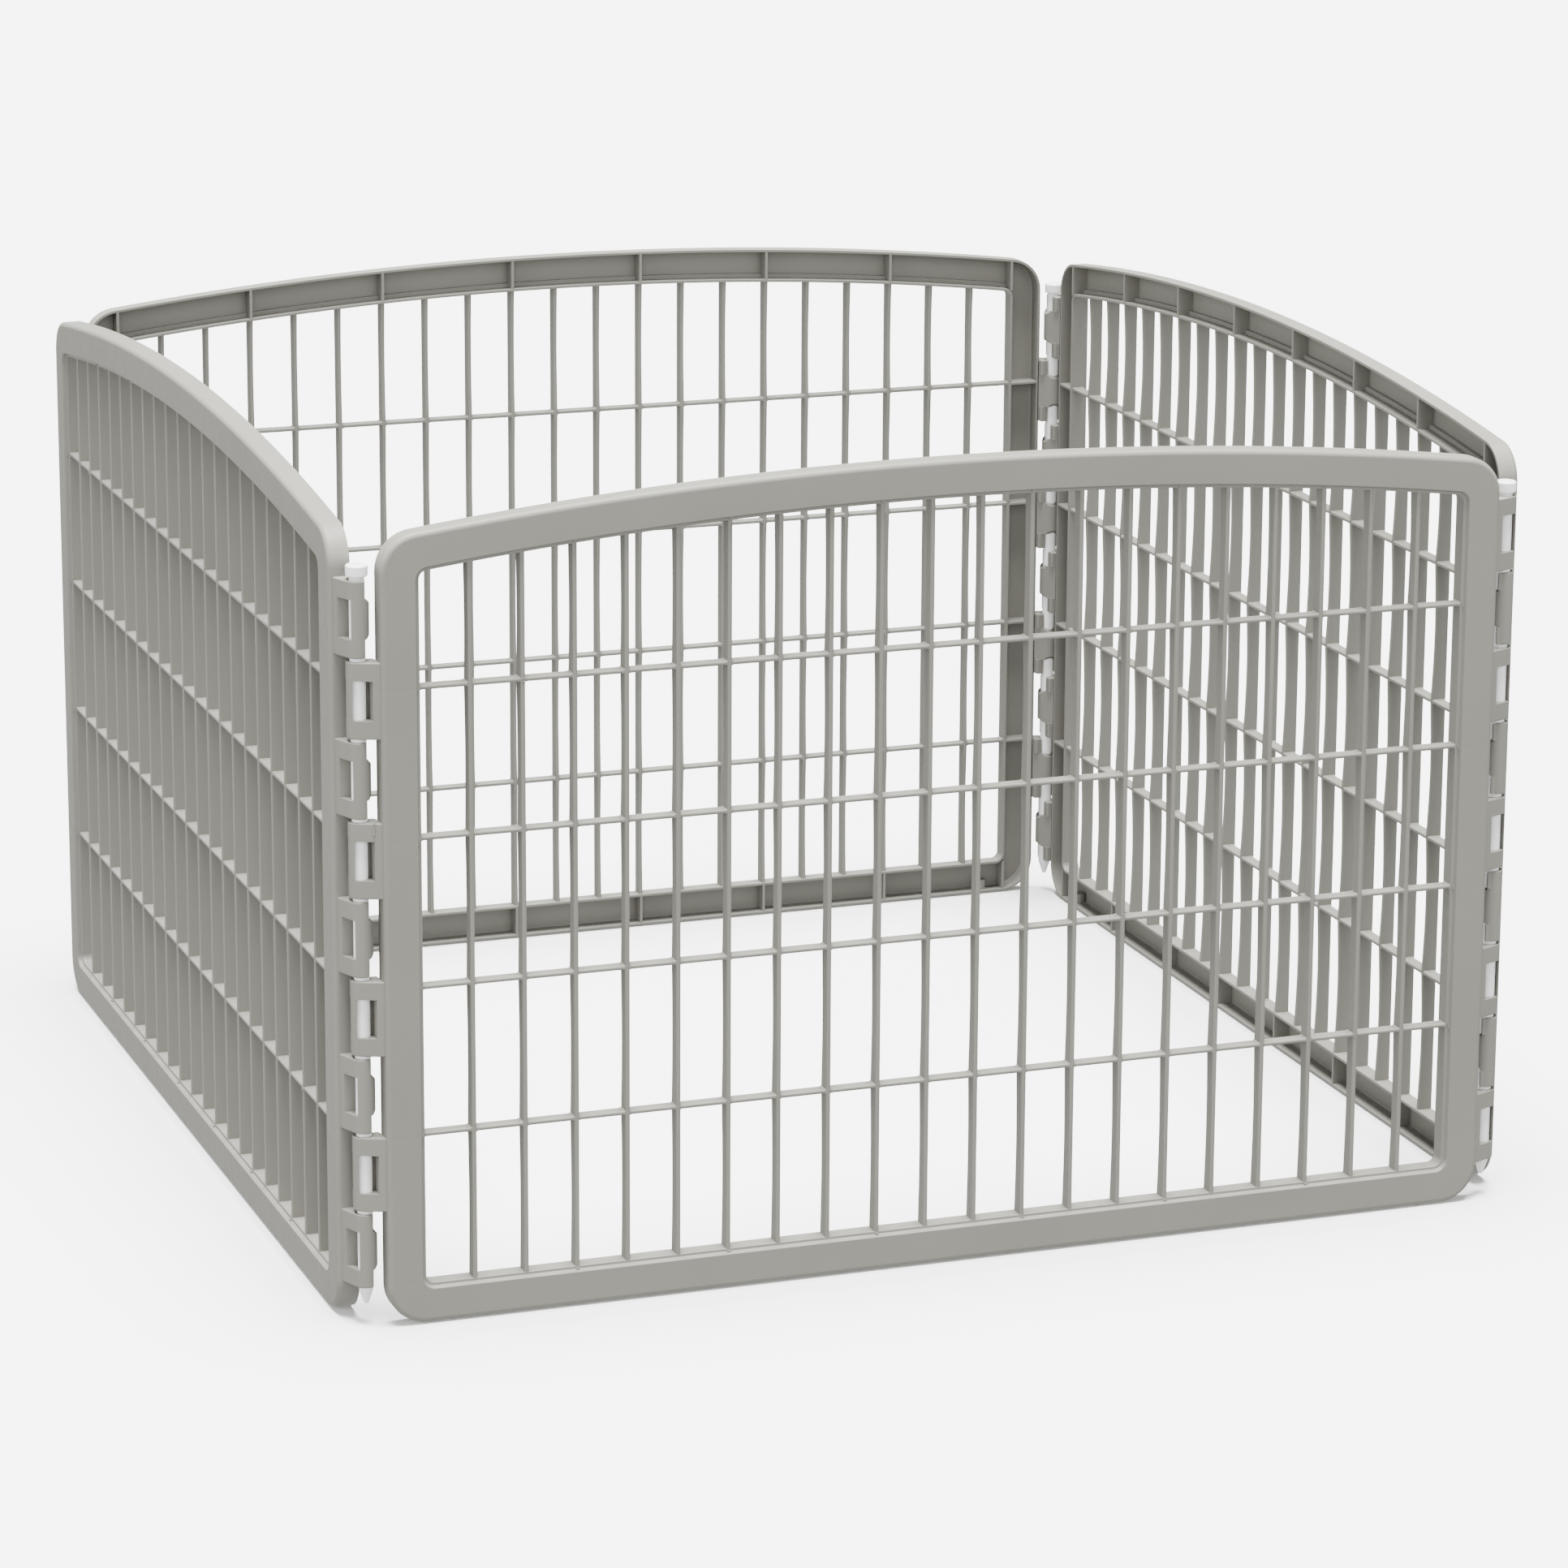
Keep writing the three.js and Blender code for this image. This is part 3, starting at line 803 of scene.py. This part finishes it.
def build_feet():
    """The rubber feet, plugged into the bottom rails' bosses."""
    rubber = foot_rubber()
    for node in sorted(frame["nodes"]):
        if node.startswith("foot_"):
            at = centre(node)
            at.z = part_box(node)[0].z + FOOT_PROUD * MM
            name = f"rubber_{node}"
            place(name, foot_mesh(name), Matrix.Translation(at), rubber, node)


# ---- stage -----------------------------------------------------------------------------------------

FLOOR_SIZE = 60

# The surroundings' strength below and above the horizon, and between which heights it changes.
WORLD_LOW = 1.05
WORLD_HIGH = 0.28
CHANGE_START = -0.25
CHANGE_END = 0.35

# Broad, even lights: the way each one shines, its strength, and its width in degrees.
SUNS = (
    ("overhead", (0.0, 0.02, -1.0), 21.0, 34),
    ("front", (0.05, 0.95, -0.3), 2.4, 60),
    ("front_right", (-0.7, 0.7, -0.3), 0.35, 60),
    ("left", (1.0, 0.1, -0.2), 2.6, 60),
)


def build_floor():
    """A pale floor that the camera sees, but that casts no light back onto the pen."""
    bpy.ops.mesh.primitive_plane_add(size=FLOOR_SIZE, location=(0, 0, 0))
    floor = bpy.context.object
    floor.name = "floor"
    floor.data.materials.append(floor_paint())
    floor.visible_diffuse = False
    floor.visible_glossy = False


def build_surroundings():
    """A plain white surround, stronger below the horizon than above it."""
    world = bpy.data.worlds.new("studio")
    bpy.context.scene.world = world
    world.use_nodes = True
    sky = world.node_tree
    background = sky.nodes["Background"]
    direction = sky.nodes.new("ShaderNodeTexCoord").outputs["Generated"]
    parts = sky.nodes.new("ShaderNodeSeparateXYZ")
    link(sky, direction, parts.inputs[0])
    height = sky.nodes.new("ShaderNodeMapRange")
    height.inputs["From Min"].default_value = CHANGE_START
    height.inputs["From Max"].default_value = CHANGE_END
    height.inputs["To Min"].default_value = WORLD_LOW
    height.inputs["To Max"].default_value = WORLD_HIGH
    link(sky, parts.outputs["Z"], height.inputs["Value"])
    link(sky, height.outputs["Result"], background.inputs["Strength"])
    background.inputs["Color"].default_value = (1, 1, 1, 1)


def build_lights():
    for name, towards, strength, angle in SUNS:
        light = bpy.data.lights.new(name, "SUN")
        light.energy = strength
        light.angle = math.radians(angle)
        lamp = bpy.data.objects.new(name, light)
        bpy.context.scene.collection.objects.link(lamp)
        lamp.rotation_euler = Vector(towards).to_track_quat("-Z", "Y").to_euler()


# ---- camera ----------------------------------------------------------------------------------------

# The camera was fitted to the panels' edges, bars and pins. Its place is in metres, its turn in degrees.
CAMERA_PLACE = (-1.42732, -4.06359, 1.40217)
CAMERA_YAW = 19.742
CAMERA_PITCH = 14.276
CAMERA_ROLL = 0.301
CAMERA_LENS = 130.66
CAMERA_SENSOR = 36
CAMERA_SHIFT = -0.0497
CAMERA_REACH = 100


def build_camera():
    camera_data = bpy.data.cameras.new("camera")
    camera = bpy.data.objects.new("camera", camera_data)
    bpy.context.scene.collection.objects.link(camera)
    yaw, pitch, roll = math.radians(CAMERA_YAW), math.radians(CAMERA_PITCH), math.radians(CAMERA_ROLL)
    forward = Vector((math.sin(yaw) * math.cos(pitch), math.cos(yaw) * math.cos(pitch), -math.sin(pitch)))
    level = Vector((math.cos(yaw), -math.sin(yaw), 0))
    upright = level.cross(forward)
    right = level * math.cos(roll) + upright * math.sin(roll)
    up = upright * math.cos(roll) - level * math.sin(roll)
    view = Matrix((right, up, -forward)).transposed().to_4x4()
    view.translation = CAMERA_PLACE
    camera.matrix_world = view
    camera_data.sensor_width = CAMERA_SENSOR
    camera_data.lens = CAMERA_LENS
    camera_data.shift_y = CAMERA_SHIFT
    camera_data.clip_end = CAMERA_REACH
    bpy.context.scene.camera = camera


build_panels_and_pins()
build_feet()
build_floor()
build_surroundings()
build_lights()
build_camera()
